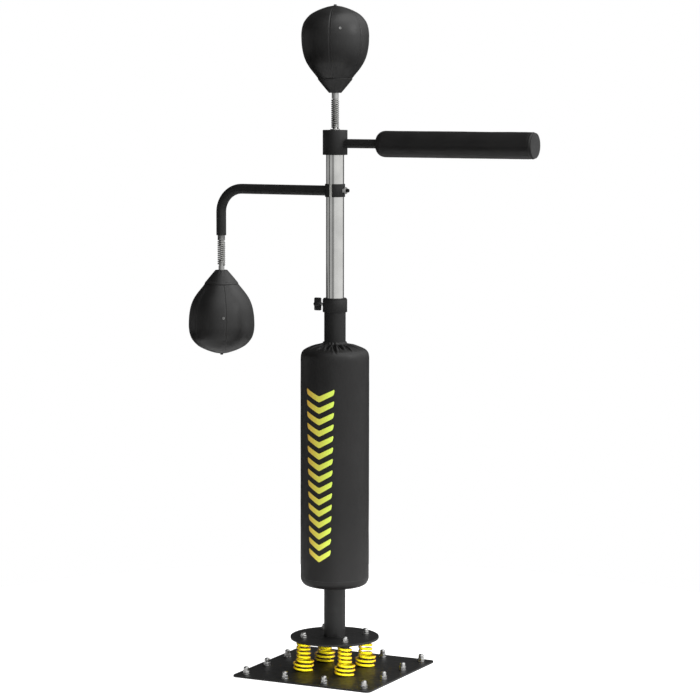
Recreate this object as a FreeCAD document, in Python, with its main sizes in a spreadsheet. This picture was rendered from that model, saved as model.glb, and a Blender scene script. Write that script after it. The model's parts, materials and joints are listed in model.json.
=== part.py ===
"""Spring reflex bag: a padded column on four base springs, with a spinning bar and two sprung balls.

Millimetres. The origin is the centre of the base plate's underside, on the column's axis.
+Z is up, +X runs along the padded bar, and the bent arm points along -X.
Every piece is a closed solid of its own, saved as parts/NODE.step.
"""
import FreeCAD, Part
import math
import os
import Sketcher

V = FreeCAD.Vector

# Driving sizes, all in millimetres or degrees.
SIZES = {
    # base plate and what is bolted to it
    "plate_side": 426, "plate_thick": 5, "plate_corner": 15, "bolt_inset": 30,
    "bolt_dia": 10, "hole_gap": 0.2, "washer_dia": 20, "washer_thick": 2,
    "nut_flats": 17, "nut_tall": 8, "flange_nut_tall": 6,
    "cap_dia": 15, "cap_tall": 12, "flange_cap_tall": 8, "cap_dome": 4, "cap_bore_end": 2,
    # four base springs
    "spring_off": 64.7, "wire_dia": 7, "coil_wide": 26.5, "coil_narrow": 17,
    "coil_pitch": 11.2857143, "wide_turns": 2, "cone_turns": 0.5, "narrow_turns": 4.5,
    "seat_low_rad": 22.7, "seat_low_tall": 22, "seat_high_rad": 13.2, "seat_high_tall": 15,
    "seat_screw_rad": 4, "screw_head_rad": 7.6, "screw_head_tall": 3.6, "screw_sink": 0.3,
    "screw_reach": 16, "screw_gap": 0.2,
    # flange and lower tube
    "flange_rad": 124.5, "flange_bottom": 91, "flange_thick": 6,
    "tube_rad": 30, "tube_bore": 28, "tube_top": 1046.5,
    # bag
    "bag_rad": 95.7, "bag_bottom": 241.5, "bag_edge": 22, "bag_shoulder": 909, "bag_crown": 917,
    "bag_shoulder_round": 22, "bag_neck_rad": 33, "skin": 1.6, "skin_gap": 0.3,
    "bag_bore_gap": 0.3, "cuff_low": 917.4, "cuff_tall": 10.6, "cuff_wall": 2.4,
    # height collar, its bush and its wing knob
    "collar_rad": 34.15, "collar_low": 1011, "collar_tall": 35.5, "collar_gap": 0.1,
    "bush_bore": 25.05, "bush_low": 1006, "bush_lip_rad": 32.4, "bush_lip": 3,
    "knob_height": 1031, "knob_screw_rad": 4, "knob_screw_hole": 4.05, "knob_screw_tip": 28.7,
    "knob_inner": 43.6, "knob_hub_rad": 8, "knob_hub_long": 20.5, "knob_wing_high": 36,
    "knob_wing_wide": 9, "knob_wing_in": 1, "knob_wing_long": 18.2, "knob_wing_round": 3,
    "knob_nipple_rad": 3, "knob_nipple": 3, "pad_rad": 3.9, "pad_face": 25.15, "pad_thick": 3.4,
    # chrome mast
    "mast_rad": 25, "mast_bore": 23.5, "mast_low": 749, "mast_top": 1509,
    "foot_rad": 27.95, "foot_low": 744, "foot_tall": 40, "foot_floor": 4.6,
    "ring_rad": 29, "ring_low": 1475, "ring_tall": 5, "plug_rad": 23.3, "plug_deep": 24,
    "plug_flange_rad": 30, "plug_flange": 5,
    # hub and padded bar
    "hub_rad": 34.25, "hub_bore": 31, "hub_low": 1446, "hub_tall": 68.4,
    "hub_bush_rad": 30.9, "hub_bush_low": 1447, "hub_bush_tall": 27.5, "hub_bush_rise": 33.4,
    "bar_height": 1477.3, "bar_rad": 12.5, "bar_bore": 10.5, "bar_tip": 585,
    "pad_bar_rad": 36, "pad_bar_low": 133, "pad_bar_tip": 595.4, "pad_bar_round": 20,
    "pad_bar_edge": 2, "disc_rad": 33.9, "disc_gap": 0.2, "disc_thick": 1.6,
    # clamp and bent arm
    "liner_bore": 25.05, "liner_rad": 25.8, "liner_low": 1331, "liner_tall": 34,
    "band_bore": 25.85, "band_rad": 27.9, "band_low": 1330, "band_tall": 36, "band_slit": 8,
    "clamp_height": 1348, "clamp_nut_flats": 17, "clamp_nut_long": 8,
    "clamp_screw_rad": 4, "clamp_screw_head": 5, "clamp_screw_tip": 28.1,
    "clamp_screw_step": 36.3, "clamp_screw_end": 42.5, "clamp_pad_face": 25.95,
    "arm_rad": 14, "arm_bore": 12, "arm_height": 1347, "arm_bend": 67, "arm_out": 362,
    "arm_end": 1214.5, "weld_gap": 0.05,
    # ball springs, their seats and stems
    "coil_rad": 9.05, "coil_wire": 3.9, "ball_pitch": 5.8, "spigot_rad": 6.9, "spigot_long": 14,
    "top_seat_low": 1514, "top_seat_rad": 13.5, "top_seat_thick": 3, "top_stem_low": 1600,
    "ferrule_rad": 10.5, "ferrule_low": 1200, "ferrule_plug": 11.8, "ferrule_plug_long": 20,
    "arm_stem_top": 1128, "top_stem_rad": 9.5, "arm_stem_rad": 8.25,
    "top_neck": 1616, "arm_neck": 1116, "stem_into": 23,
    # leather balls, heights measured from the neck
    "ball_rad": 93.5, "ball_mid": 150, "ball_near": 126.2, "ball_far": 88.5, "ball_skin": 1.8,
    "bladder": 1.5, "cuff_rad": 17, "cuff_top_rad": 48, "ball_cuff_tall": 38, "ball_gap": 0.3,
    "nub_rad": 4.5, "nub_tall": 3, "nub_gap": 0.15,
}

doc = FreeCAD.newDocument("SpringReflexBag")
sheet = doc.addObject("Spreadsheet::Sheet", "Sizes")
nodes = []


class Dim:
    """A size with the sheet expression it comes from, so that both follow the same arithmetic."""

    def __init__(self, value, text):
        self.value = value
        self.text = text

    def __add__(self, other):
        other = as_dim(other)
        return Dim(self.value + other.value, f"({self.text} + {other.text})")

    def __sub__(self, other):
        other = as_dim(other)
        return Dim(self.value - other.value, f"({self.text} - {other.text})")

    def __mul__(self, other):
        other = as_dim(other)
        return Dim(self.value * other.value, f"({self.text} * {other.text})")

    def __truediv__(self, other):
        other = as_dim(other)
        return Dim(self.value / other.value, f"({self.text} / {other.text})")

    def __neg__(self):
        return Dim(-self.value, f"(0 - {self.text})")


def as_dim(size):
    return size if isinstance(size, Dim) else Dim(float(size), repr(float(size)))


def size(name):
    """One driving size, tied to its cell."""
    return Dim(float(SIZES[name]), f"Sizes.{name}")


def fill_sheet():
    for row, (name, value) in enumerate(SIZES.items(), start=1):
        sheet.set(f"A{row}", name)
        sheet.set(f"B{row}", str(value))
        sheet.setAlias(f"B{row}", name)
    doc.recompute()


# ---------------------------------------------------------------- helpers

def bind(thing, prop, dim):
    thing.setExpression(prop, as_dim(dim).text)


def place(thing, at=(0, 0, 0), turn=None):
    """Put a piece at three sizes, turned first by (axis, degrees)."""
    rotation = FreeCAD.Rotation(*turn) if turn else FreeCAD.Rotation()
    at = [as_dim(a) for a in at]
    thing.Placement = FreeCAD.Placement(V(*[a.value for a in at]), rotation)
    for axis, a in zip("xyz", at):
        bind(thing, f"Placement.Base.{axis}", a)


def keep(thing, label):
    """Name a finished piece as a node."""
    thing.Label = label
    nodes.append(thing)
    return thing


def datum(body, role):
    """One of a body's own origin planes or axes."""
    return next(o for o in body.Origin.OriginFeatures if o.Role == role)


def new_sketch(body, plane="XY_Plane", lift=None):
    """An empty sketch on an origin plane, lifted along the plane's normal if asked."""
    sketch = body.newObject("Sketcher::SketchObject", "Outline")
    sketch.AttachmentSupport = [(datum(body, plane), "")]
    sketch.MapMode = "FlatFace"
    if lift is not None:
        bind(sketch, "AttachmentOffset.Base.z", lift)
    return sketch


def fix(sketch, kind, index, point, dim):
    """Hold one coordinate of a sketch point at a size, or on the axis where the size is nothing."""
    if abs(dim.value) < 1e-9:
        axis = -2 if kind == "DistanceX" else -1
        sketch.addConstraint(Sketcher.Constraint("PointOnObject", index, point, axis))
        return
    held = sketch.addConstraint(Sketcher.Constraint(kind, -1, 1, index, point, dim.value))
    sketch.setExpression(f"Constraints[{held}]", dim.text)


def polygon(sketch, points):
    """A closed outline of straight lines through points given as pairs of sizes."""
    points = [(as_dim(a), as_dim(b)) for a, b in points]
    corners = [V(a.value, b.value, 0) for a, b in points]
    count = len(points)
    first = sketch.GeometryCount
    for i in range(count):
        sketch.addGeometry(Part.LineSegment(corners[i], corners[(i + 1) % count]), False)
    for i in range(count):
        after = first + (i + 1) % count
        sketch.addConstraint(Sketcher.Constraint("Coincident", first + i, 2, after, 1))
    for i, (a, b) in enumerate(points):
        fix(sketch, "DistanceX", first + i, 1, a)
        fix(sketch, "DistanceY", first + i, 1, b)


def circle(sketch, radius, centre=(0, 0)):
    """A circle of a given radius about a given centre."""
    radius = as_dim(radius)
    a, b = as_dim(centre[0]), as_dim(centre[1])
    index = sketch.addGeometry(Part.Circle(V(a.value, b.value, 0), V(0, 0, 1), radius.value), False)
    fix(sketch, "DistanceX", index, 3, a)
    fix(sketch, "DistanceY", index, 3, b)
    held = sketch.addConstraint(Sketcher.Constraint("Radius", index, radius.value))
    sketch.setExpression(f"Constraints[{held}]", radius.text)


def turned(label, outline, at=(0, 0, 0), turn=None):
    """A turned piece: an outline of (radius, height) pairs revolved about its own Z axis."""
    body = doc.addObject("PartDesign::Body", "Body")
    sketch = new_sketch(body, "XZ_Plane")
    polygon(sketch, outline)
    spin = body.newObject("PartDesign::Revolution", "Turned")
    spin.Profile = sketch
    spin.ReferenceAxis = (sketch, ["V_Axis"])
    spin.Angle = 360
    body.Tip = spin
    place(body, at, turn)
    doc.recompute()
    body.Label = label
    return body


def ring(label, outer, inner, tall, at=(0, 0, 0), turn=None):
    """A plain tube or washer."""
    return turned(label, [(inner, 0), (outer, 0), (outer, tall), (inner, tall)], at, turn)


def disc(label, radius, tall, at=(0, 0, 0), turn=None):
    """A plain solid cylinder."""
    return turned(label, [(0, 0), (radius, 0), (radius, tall), (0, tall)], at, turn)


def pad(body, sketch, length):
    feature = body.newObject("PartDesign::Pad", "Pad")
    feature.Profile = sketch
    bind(feature, "Length", length)
    body.Tip = feature
    doc.recompute()
    return feature


def pocket(body, sketch, length, backwards=False):
    """Cut a sketch out of a body, and make sure that something was cut."""
    before = body.Shape.Volume
    feature = body.newObject("PartDesign::Pocket", "Pocket")
    feature.Profile = sketch
    bind(feature, "Length", length)
    feature.Reversed = backwards
    body.Tip = feature
    doc.recompute()
    if body.Shape.Volume > before - 1:
        raise RuntimeError(f"{body.Label}: a pocket cut nothing")
    return feature


def repeat(body, feature, count, line=None):
    """Repeat a feature round the Z axis, and before that along X if line gives (length, count)."""
    many = body.newObject("PartDesign::MultiTransform", "Repeat")
    steps = []
    if line:
        along = body.newObject("PartDesign::LinearPattern", "AlongX")
        along.Direction = (datum(body, "X_Axis"), [""])
        bind(along, "Length", line[0])
        along.Occurrences = line[1]
        steps.append(along)
    around = body.newObject("PartDesign::PolarPattern", "AroundZ")
    around.Axis = (datum(body, "Z_Axis"), [""])
    around.Angle = 360
    around.Occurrences = count
    steps.append(around)
    many.Originals = [feature]
    many.Transformations = steps
    body.Tip = many
    doc.recompute()
    return many


def edges_where(shape, test):
    """Names of the edges that a test on their middle point accepts."""
    found = []
    for i, edge in enumerate(shape.Edges, start=1):
        middle = edge.valueAt((edge.FirstParameter + edge.LastParameter) / 2)
        if test(middle):
            found.append(f"Edge{i}")
    return found


def soften(body, radius, test, kind="Fillet"):
    """Round (or chamfer) the edges whose middle point passes the test."""
    base = body.Tip
    feature = body.newObject(f"PartDesign::{kind}", kind)
    feature.Base = (base, edges_where(base.Shape, test))
    bind(feature, "Radius" if kind == "Fillet" else "Size", radius)
    body.Tip = feature
    doc.recompute()
    return feature


def cut(label, base, tool, keep_it=True):
    """One solid less another, both left in the document."""
    piece = doc.addObject("Part::Cut", "Cut")
    piece.Base = base
    piece.Tool = tool
    doc.recompute()
    if keep_it:
        keep(piece, label)
    return piece


def rod(radius, long, at, turn=None):
    """A plain cylinder used to cut with."""
    piece = doc.addObject("Part::Cylinder", "Rod")
    bind(piece, "Radius", radius)
    bind(piece, "Height", long)
    place(piece, at, turn)
    doc.recompute()
    return piece


def copies(body, low, places):
    """Links to one piece, raised to a height at each of several places, as one object."""
    made = []
    for x, y in places:
        link = doc.addObject("App::Link", "Copy")
        link.LinkedObject = body
        place(link, (x, y, low))
        made.append(link)
    group = doc.addObject("Part::Compound", "Group")
    group.Links = made
    doc.recompute()
    return group


TO_PLUS_X = (V(0, 1, 0), 90)
TO_MINUS_X = (V(0, 1, 0), -90)
UPSIDE_DOWN = (V(1, 0, 0), 180)


# ---------------------------------------------------------------- base

def bolt_corner():
    """Distance of the edge bolts' rows from the column's axis."""
    return size("plate_side") / 2 - size("bolt_inset")


def round_edge(body, feature):
    """Twelve places: three along each side, four sides round."""
    repeat(body, feature, 4, line=(bolt_corner() * 4 / 3, 3))


def build_base_plate():
    body = doc.addObject("PartDesign::Body", "Body")
    half = size("plate_side") / 2
    outline = new_sketch(body)
    polygon(outline, [(-half, -half), (half, -half), (half, half), (-half, half)])
    pad(body, outline, size("plate_thick"))
    reach = half.value - 0.1
    soften(body, size("plate_corner"), lambda p: min(abs(p.x), abs(p.y)) > reach)
    holes = new_sketch(body)
    corner = bolt_corner()
    circle(holes, size("bolt_dia") / 2 + size("hole_gap"), (-corner, -corner))
    round_edge(body, pocket(body, holes, size("plate_thick") + 1, backwards=True))
    screws = new_sketch(body)
    radius = size("seat_screw_rad") + size("screw_gap")
    circle(screws, radius, (size("spring_off"), size("spring_off")))
    repeat(body, pocket(body, screws, size("plate_thick") + 1, backwards=True), 4)
    off = size("spring_off").value

    def screw_mouth(p):
        across = math.hypot(abs(p.x) - off, abs(p.y) - off)
        return p.z < 0.01 and across < radius.value + 0.1

    soften(body, size("screw_head_tall") + size("screw_gap"), screw_mouth, "Chamfer")
    keep(body, "base_plate")


def hexagon_points(flats, centre):
    """Corners of a hexagon of a given width across flats."""
    across = flats / math.sqrt(3)
    return [
        (centre[0] + across * math.cos(math.radians(60 * i)),
         centre[1] + across * math.sin(math.radians(60 * i)))
        for i in range(6)
    ]


def stack_group(label, centre, radius, low, tall, hexagon, bore, repeat_by):
    """A group of like washers, nuts or bolts as separate solids, round or hexagonal."""
    body = doc.addObject("PartDesign::Body", "Body")
    sketch = new_sketch(body, lift=low)
    if hexagon:
        polygon(sketch, hexagon_points(radius * 2, centre))
    else:
        circle(sketch, radius, centre)
    if bore is not None:
        circle(sketch, bore, centre)
    repeat_by(body, pad(body, sketch, tall))
    keep(body, label)


def cap_group(label, low, tall, bore, places):
    """Domed cap nuts: a round body with a rounded top and a blind bore from below."""
    radius = size("cap_dia") / 2
    dome = size("cap_dome")
    shoulder = tall - dome
    deep = tall - size("cap_bore_end")
    outline = [
        (bore, 0), (radius, 0), (radius, shoulder), (radius * 0.9, shoulder + dome * 0.45),
        (radius * 0.62, shoulder + dome * 0.83), (radius * 0.3, tall), (0, tall),
        (0, deep), (bore, deep),
    ]
    keep(copies(turned("cap nut", outline), low, places), label)


def edge_places():
    """The twelve places as pairs of sizes."""
    corner = bolt_corner()
    third = corner / 3
    side = [-corner, -third, third]
    places = []
    for step in side:
        places += [(step, -corner), (corner, step), (-step, corner), (-corner, -step)]
    return places


def spring_places():
    off = size("spring_off")
    return [(off, off), (-off, off), (-off, -off), (off, -off)]


def build_edge_fasteners():
    corner = bolt_corner()
    centre = (-corner, -corner)
    thick = size("plate_thick")
    washer = size("washer_thick")
    nut = size("nut_tall")
    shank = size("bolt_dia") / 2
    bore = shank + size("hole_gap")
    stack = thick + washer + nut
    shank_end = stack + size("cap_tall") - size("cap_bore_end") - size("hole_gap")
    stack_group("hold_down_bolts", centre, shank, as_dim(0), shank_end, False, None, round_edge)
    washer_radius = size("washer_dia") / 2
    stack_group("hold_down_washers", centre, washer_radius, thick, washer, False, bore, round_edge)
    flats = size("nut_flats") / 2
    stack_group("hold_down_nuts", centre, flats, thick + washer, nut, True, bore, round_edge)
    cap_group("hold_down_cap_nuts", stack, size("cap_tall"), bore, edge_places())


def four_round(body, feature):
    repeat(body, feature, 4)


def build_spring_seats():
    """Spigots that hold the springs' ends, the lower ones screwed down from below."""
    thick = size("plate_thick")
    screw = size("seat_screw_rad")
    gap = size("screw_gap")
    off = size("spring_off")
    low = doc.addObject("PartDesign::Body", "Body")
    sketch = new_sketch(low, lift=thick)
    circle(sketch, size("seat_low_rad"), (off, off))
    lower = pad(low, sketch, size("seat_low_tall"))
    repeat(low, lower, 4)
    tapped = new_sketch(low, lift=thick)
    circle(tapped, screw + gap, (off, off))
    repeat(low, pocket(low, tapped, size("screw_reach"), backwards=True), 4)
    keep(low, "lower_spring_seats")

    sink = size("screw_sink")
    head = size("screw_head_tall")
    screw_end = thick + size("screw_reach") - 1
    outline = [
        (0, sink), (size("screw_head_rad"), sink), (screw, sink + head),
        (screw, screw_end), (0, screw_end),
    ]
    keep(copies(turned("seat screw", outline), 0, spring_places()), "seat_screws")

    bottom = size("flange_bottom") - size("seat_high_tall")
    top = size("flange_bottom")
    stud_end = top + size("flange_thick") + size("washer_thick") + size("flange_nut_tall")
    stud_end = stud_end + size("flange_cap_tall") - size("cap_bore_end") - size("hole_gap")
    stud = size("bolt_dia") / 2
    outline = [
        (0, bottom), (size("seat_high_rad"), bottom), (size("seat_high_rad"), top),
        (stud, top), (stud, stud_end), (0, stud_end),
    ]
    keep(copies(turned("upper seat", outline), 0, spring_places()), "upper_spring_seats")


def helix(radius, pitch, turns, low, taper=None, left=False, round_by=0):
    """A helix that starts on the +X side, or further round by an angle."""
    piece = doc.addObject("Part::Helix", "Helix")
    bind(piece, "Radius", radius)
    bind(piece, "Pitch", pitch)
    bind(piece, "Height", pitch * turns)
    piece.SegmentLength = 1
    if taper is not None:
        bind(piece, "Angle", taper)
    if left:
        piece.LocalCoord = "Left-handed"
    place(piece, (0, 0, low), (V(0, 0, 1), round_by))
    return piece


def coil(wire_dia, radius, start, paths):
    """A wire swept along one or more helices that meet end to end."""
    section = doc.addObject("Part::Circle", "Section")
    bind(section, "Radius", wire_dia / 2)
    place(section, (radius, 0, start), (V(1, 0, 0), 90))
    spine = doc.addObject("Part::Compound", "Spine")
    spine.Links = paths
    doc.recompute()
    sweep = doc.addObject("Part::Sweep", "Coil")
    sweep.Sections = [section]
    sweep.Spine = (spine, [f"Edge{i + 1}" for i in range(len(spine.Shape.Edges))])
    sweep.Solid = True
    sweep.Frenet = True
    sweep.Transition = "Transformed"
    doc.recompute()
    return sweep


def build_base_springs():
    """Four left-hand coils: two wide turns at the foot, half a turn that tapers, then narrow turns."""
    wide, narrow, pitch = size("coil_wide"), size("coil_narrow"), size("coil_pitch")
    start = size("plate_thick") + size("wire_dia") / 2
    taper_low = start + pitch * size("wide_turns")
    narrow_low = taper_low + pitch * size("cone_turns")
    slope = math.degrees(math.atan2(narrow.value - wide.value, SIZES["cone_turns"] * pitch.value))
    slope_text = f"atan(({narrow.text} - {wide.text}) / ({pitch.text} * Sizes.cone_turns))"
    spring = coil(size("wire_dia"), wide, start, [
        helix(wide, pitch, size("wide_turns"), start, left=True),
        helix(wide, pitch, size("cone_turns"), taper_low, Dim(slope, slope_text), left=True),
        helix(narrow, pitch, size("narrow_turns"), narrow_low, left=True, round_by=180),
    ])
    names = ["back_right", "back_left", "front_left", "front_right"]
    for name, spot in zip(names, spring_places()):
        keep(copies(spring, 0, [spot]), f"base_spring_{name}")


# ---------------------------------------------------------------- column

def build_flange():
    body = doc.addObject("PartDesign::Body", "Body")
    outline = new_sketch(body, lift=size("flange_bottom"))
    circle(outline, size("flange_rad"))
    pad(body, outline, size("flange_thick"))
    holes = new_sketch(body, lift=size("flange_bottom"))
    off = size("spring_off")
    circle(holes, size("bolt_dia") / 2 + size("hole_gap"), (off, off))
    repeat(body, pocket(body, holes, size("flange_thick") + 1, backwards=True), 4)
    keep(body, "flange_plate")

    centre = (off, off)
    bore = size("bolt_dia") / 2 + size("hole_gap")
    top = size("flange_bottom") + size("flange_thick")
    washer = size("washer_thick")
    nut = size("flange_nut_tall")
    radius = size("washer_dia") / 2
    stack_group("flange_washers", centre, radius, top, washer, False, bore, four_round)
    flats = size("nut_flats") / 2
    stack_group("flange_nuts", centre, flats, top + washer, nut, True, bore, four_round)
    low = top + washer + nut
    cap_group("flange_cap_nuts", low, size("flange_cap_tall"), bore, spring_places())


def side_hole(piece, label, radius, height, reach, towards):
    """Drill across a tube wall on one side, from the axis outwards."""
    turn = TO_PLUS_X if towards > 0 else TO_MINUS_X
    return cut(label, piece, rod(radius, reach, (0, 0, height), turn))


def build_lower_tube():
    low = size("flange_bottom") + size("flange_thick")
    tube = ring("tube", size("tube_rad"), size("tube_bore"), size("tube_top") - low, (0, 0, low))
    hole = size("knob_screw_hole") + 0.3
    side_hole(tube, "lower_tube", hole, size("knob_height"), 50, -1)


def bag_form(inset, bore):
    """The bag's turned shape, taken in by an inset all round, with a bore for the tube."""
    radius = size("bag_rad") - inset
    bottom = size("bag_bottom") + inset
    shoulder = size("bag_shoulder") - inset
    crown = size("bag_crown") - inset
    neck = size("bag_neck_rad")
    outline = [
        (bore, bottom), (radius, bottom), (radius, shoulder), (neck, crown), (bore, crown),
    ]
    body = turned("bag_form", outline)
    edge = radius.value - 0.1
    middle = (bottom.value + shoulder.value) / 2

    def outer(p):
        return math.hypot(p.x, p.y) > edge

    soften(body, size("bag_shoulder_round"), lambda p: outer(p) and p.z > middle + 50)
    soften(body, size("bag_edge"), lambda p: outer(p) and p.z < middle - 50)
    return body


def build_bag():
    bore = size("tube_rad") + size("bag_bore_gap")
    outer = bag_form(as_dim(0), bore)
    hollow = bag_form(size("skin"), bore - 0.2)
    cut("bag_cover", outer, hollow)
    keep(bag_form(size("skin") + size("skin_gap"), bore), "bag_core")
    ring_low = size("cuff_low")
    cuff = ring("bag_neck_cuff", bore + size("cuff_wall"), bore, size("cuff_tall"), (0, 0, ring_low))
    keep(cuff, "bag_neck_cuff")


def build_collar():
    low = size("collar_low")
    inner = size("tube_rad") + size("collar_gap")
    sleeve = ring("collar", size("collar_rad"), inner, size("collar_tall"), (0, 0, low))
    side_hole(sleeve, "height_collar", size("knob_screw_hole"), size("knob_height"), 50, -1)

    bore = size("bush_bore")
    outside = size("tube_bore") - size("collar_gap")
    top = size("tube_top") + size("collar_gap")
    lip = top + size("bush_lip")
    outline = [
        (bore, size("bush_low")), (outside, size("bush_low")), (outside, top),
        (size("bush_lip_rad"), top), (size("bush_lip_rad"), lip), (bore, lip),
    ]
    bush = turned("bush", outline)
    side_hole(bush, "collar_bush", size("pad_rad") + 0.3, size("knob_height"), 50, -1)


def build_wing_knob():
    """Wing knob on the height collar: its screw pushes a small pad against the mast."""
    height = size("knob_height")
    inner = size("knob_inner")
    at = (-inner, 0, height)
    hub_long = size("knob_hub_long")
    screw_in = size("knob_screw_rad")
    blind = hub_long - 4
    hub = size("knob_hub_rad")
    nipple = size("knob_nipple_rad")
    body = turned("knob", [
        (screw_in + 0.05, 0), (hub * 0.8, 0), (hub, hub_long * 0.12), (hub, hub_long * 0.86),
        (hub * 0.7, hub_long), (nipple, hub_long), (nipple * 0.5, hub_long + size("knob_nipple")),
        (0, hub_long + size("knob_nipple")), (0, blind), (screw_in + 0.05, blind),
    ], at, TO_MINUS_X)
    wings = new_sketch(body, lift=size("knob_wing_in"))
    high = size("knob_wing_high") / 2
    wide = size("knob_wing_wide") / 2
    near = hub * 0.7
    for sign in (1, -1):
        points = [(near * sign, -wide), (high * sign, -wide), (high * sign, wide), (near * sign, wide)]
        polygon(wings, points)
    pad(body, wings, size("knob_wing_long"))
    tip = high.value - 0.1
    soften(body, size("knob_wing_round"), lambda p: abs(p.x) > tip)
    keep(body, "wing_knob")

    tip_at = size("knob_screw_tip")
    screw_long = inner + blind - tip_at - 0.2
    keep(disc("screw", screw_in, screw_long, (-tip_at, 0, height), TO_MINUS_X), "knob_screw")
    face = size("pad_face")
    keep(disc("pad", size("pad_rad"), size("pad_thick"), (-face, 0, height), TO_MINUS_X), "knob_pad")


# ---------------------------------------------------------------- mast

def build_mast():
    low = size("mast_low")
    mast = ring("mast", size("mast_rad"), size("mast_bore"), size("mast_top") - low, (0, 0, low))
    keep(mast, "mast_tube")

    foot = size("foot_low")
    top = foot + size("foot_tall")
    floor = foot + size("foot_floor")
    inside = size("mast_rad") + 0.05
    outline = [
        (0, foot), (size("foot_rad"), foot), (size("foot_rad"), top),
        (inside, top), (inside, floor), (0, floor),
    ]
    keep(turned("foot", outline), "mast_foot_bush")

    gap = size("mast_rad") + 0.05
    stop = ring("stop", size("ring_rad"), gap, size("ring_tall"), (0, 0, size("ring_low")))
    keep(stop, "hub_stop_ring")

    top = size("mast_top") + 0.05
    plug = size("plug_rad")
    rim = size("plug_flange_rad")
    lid = size("mast_top") + size("plug_flange") - 0.1
    bottom = top - size("plug_deep")
    outline = [(0, bottom), (plug, bottom), (plug, top), (rim, top), (rim, lid), (0, lid)]
    keep(turned("plug", outline), "mast_top_plug")


# ---------------------------------------------------------------- hub and bar

def build_bar():
    """A steel sleeve on two bushes, with a foam-covered tube welded to its side."""
    low = size("hub_low")
    height = size("bar_height")
    keep(ring("hub", size("hub_rad"), size("hub_bore"), size("hub_tall"), (0, 0, low)), "hub_sleeve")
    bush_low = size("hub_bush_low")
    for label, rise in (("hub_lower_bush", as_dim(0)), ("hub_upper_bush", size("hub_bush_rise"))):
        at = (0, 0, bush_low + rise)
        bush = ring(label, size("hub_bush_rad"), size("bush_bore"), size("hub_bush_tall"), at)
        keep(bush, label)

    tube = ring("bar", size("bar_rad"), size("bar_bore"), size("bar_tip"), (0, 0, height), TO_PLUS_X)
    saddle = rod(size("hub_rad") + size("weld_gap"), 100, (0, 0, height - 50))
    cut("bar_tube", tube, saddle)

    bore = size("bar_rad") + 0.2
    outer = pad_form(as_dim(0), bore, False)
    hollow = pad_form(size("skin"), bore - 0.1, True)
    cut("bar_cover", outer, hollow)
    keep(pad_form(size("skin") + size("skin_gap"), bore, False), "bar_foam")
    end = size("pad_bar_tip") + size("disc_gap")
    keep(disc("end", size("disc_rad"), size("disc_thick"), (end, 0, height), TO_PLUS_X), "bar_end_disc")


def pad_form(inset, bore, plain):
    """The bar's pad, closed at its far end and bored for the tube, rounded where it starts."""
    radius = size("pad_bar_rad") - inset
    low = size("pad_bar_low") + inset
    tip = size("pad_bar_tip") - inset
    tube_end = size("bar_tip") + 2
    outline = [(bore, low), (radius, low), (radius, tip), (0, tip), (0, tube_end), (bore, tube_end)]
    if plain:
        outline = [(0, low), (radius, low), (radius, tip), (0, tip)]
    body = turned("pad_form", outline, (0, 0, size("bar_height")), TO_PLUS_X)
    edge = radius.value - 0.1
    middle = (low.value + tip.value) / 2

    def rim(p, sign):
        return math.hypot(p.x, p.y) > edge and (p.z - middle) * sign > 50

    soften(body, size("pad_bar_round") - inset, lambda p: rim(p, -1))
    soften(body, size("pad_bar_edge") - inset * 0.9, lambda p: rim(p, 1))
    return body


# ---------------------------------------------------------------- clamp and bent arm

def build_clamp():
    low = size("liner_low")
    liner = ring("liner", size("liner_rad"), size("liner_bore"), size("liner_tall"), (0, 0, low))
    keep(liner, "clamp_liner")

    band = ring("band", size("band_rad"), size("band_bore"), size("band_tall"), (0, 0, size("band_low")))
    slit = doc.addObject("Part::Box", "Slit")
    bind(slit, "Length", size("band_slit"))
    bind(slit, "Width", as_dim(40))
    bind(slit, "Height", size("band_tall") + 2)
    place(slit, (-size("band_slit") / 2, -as_dim(45), size("band_low") - 1))
    doc.recompute()
    slit_band = cut("slit band", band, slit, keep_it=False)
    hole = size("clamp_screw_rad") + 0.05
    side_hole(slit_band, "clamp_band", hole, size("clamp_height"), 50, 1)

    height = size("clamp_height")
    nut = doc.addObject("PartDesign::Body", "Body")
    sketch = new_sketch(nut)
    polygon(sketch, hexagon_points(size("clamp_nut_flats"), (as_dim(0), as_dim(0))))
    circle(sketch, hole)
    pad(nut, sketch, size("clamp_nut_long") + 4)
    place(nut, (size("band_rad") - 4, 0, height), TO_PLUS_X)
    saddle = rod(size("band_rad") + size("weld_gap"), 60, (0, 0, height - 30))
    cut("clamp_nut", nut, saddle)

    tip, step, end = size("clamp_screw_tip"), size("clamp_screw_step"), size("clamp_screw_end")
    outline = [
        (0, 0), (size("clamp_screw_rad"), 0), (size("clamp_screw_rad"), step - tip),
        (size("clamp_screw_head"), step - tip), (size("clamp_screw_head"), end - tip), (0, end - tip),
    ]
    keep(turned("screw", outline, (tip, 0, height), TO_PLUS_X), "clamp_screw")
    face = size("clamp_pad_face")
    long = tip - face - 0.1
    keep(disc("pad", size("pad_rad"), long, (face, 0, height), TO_PLUS_X), "clamp_pad")


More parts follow.
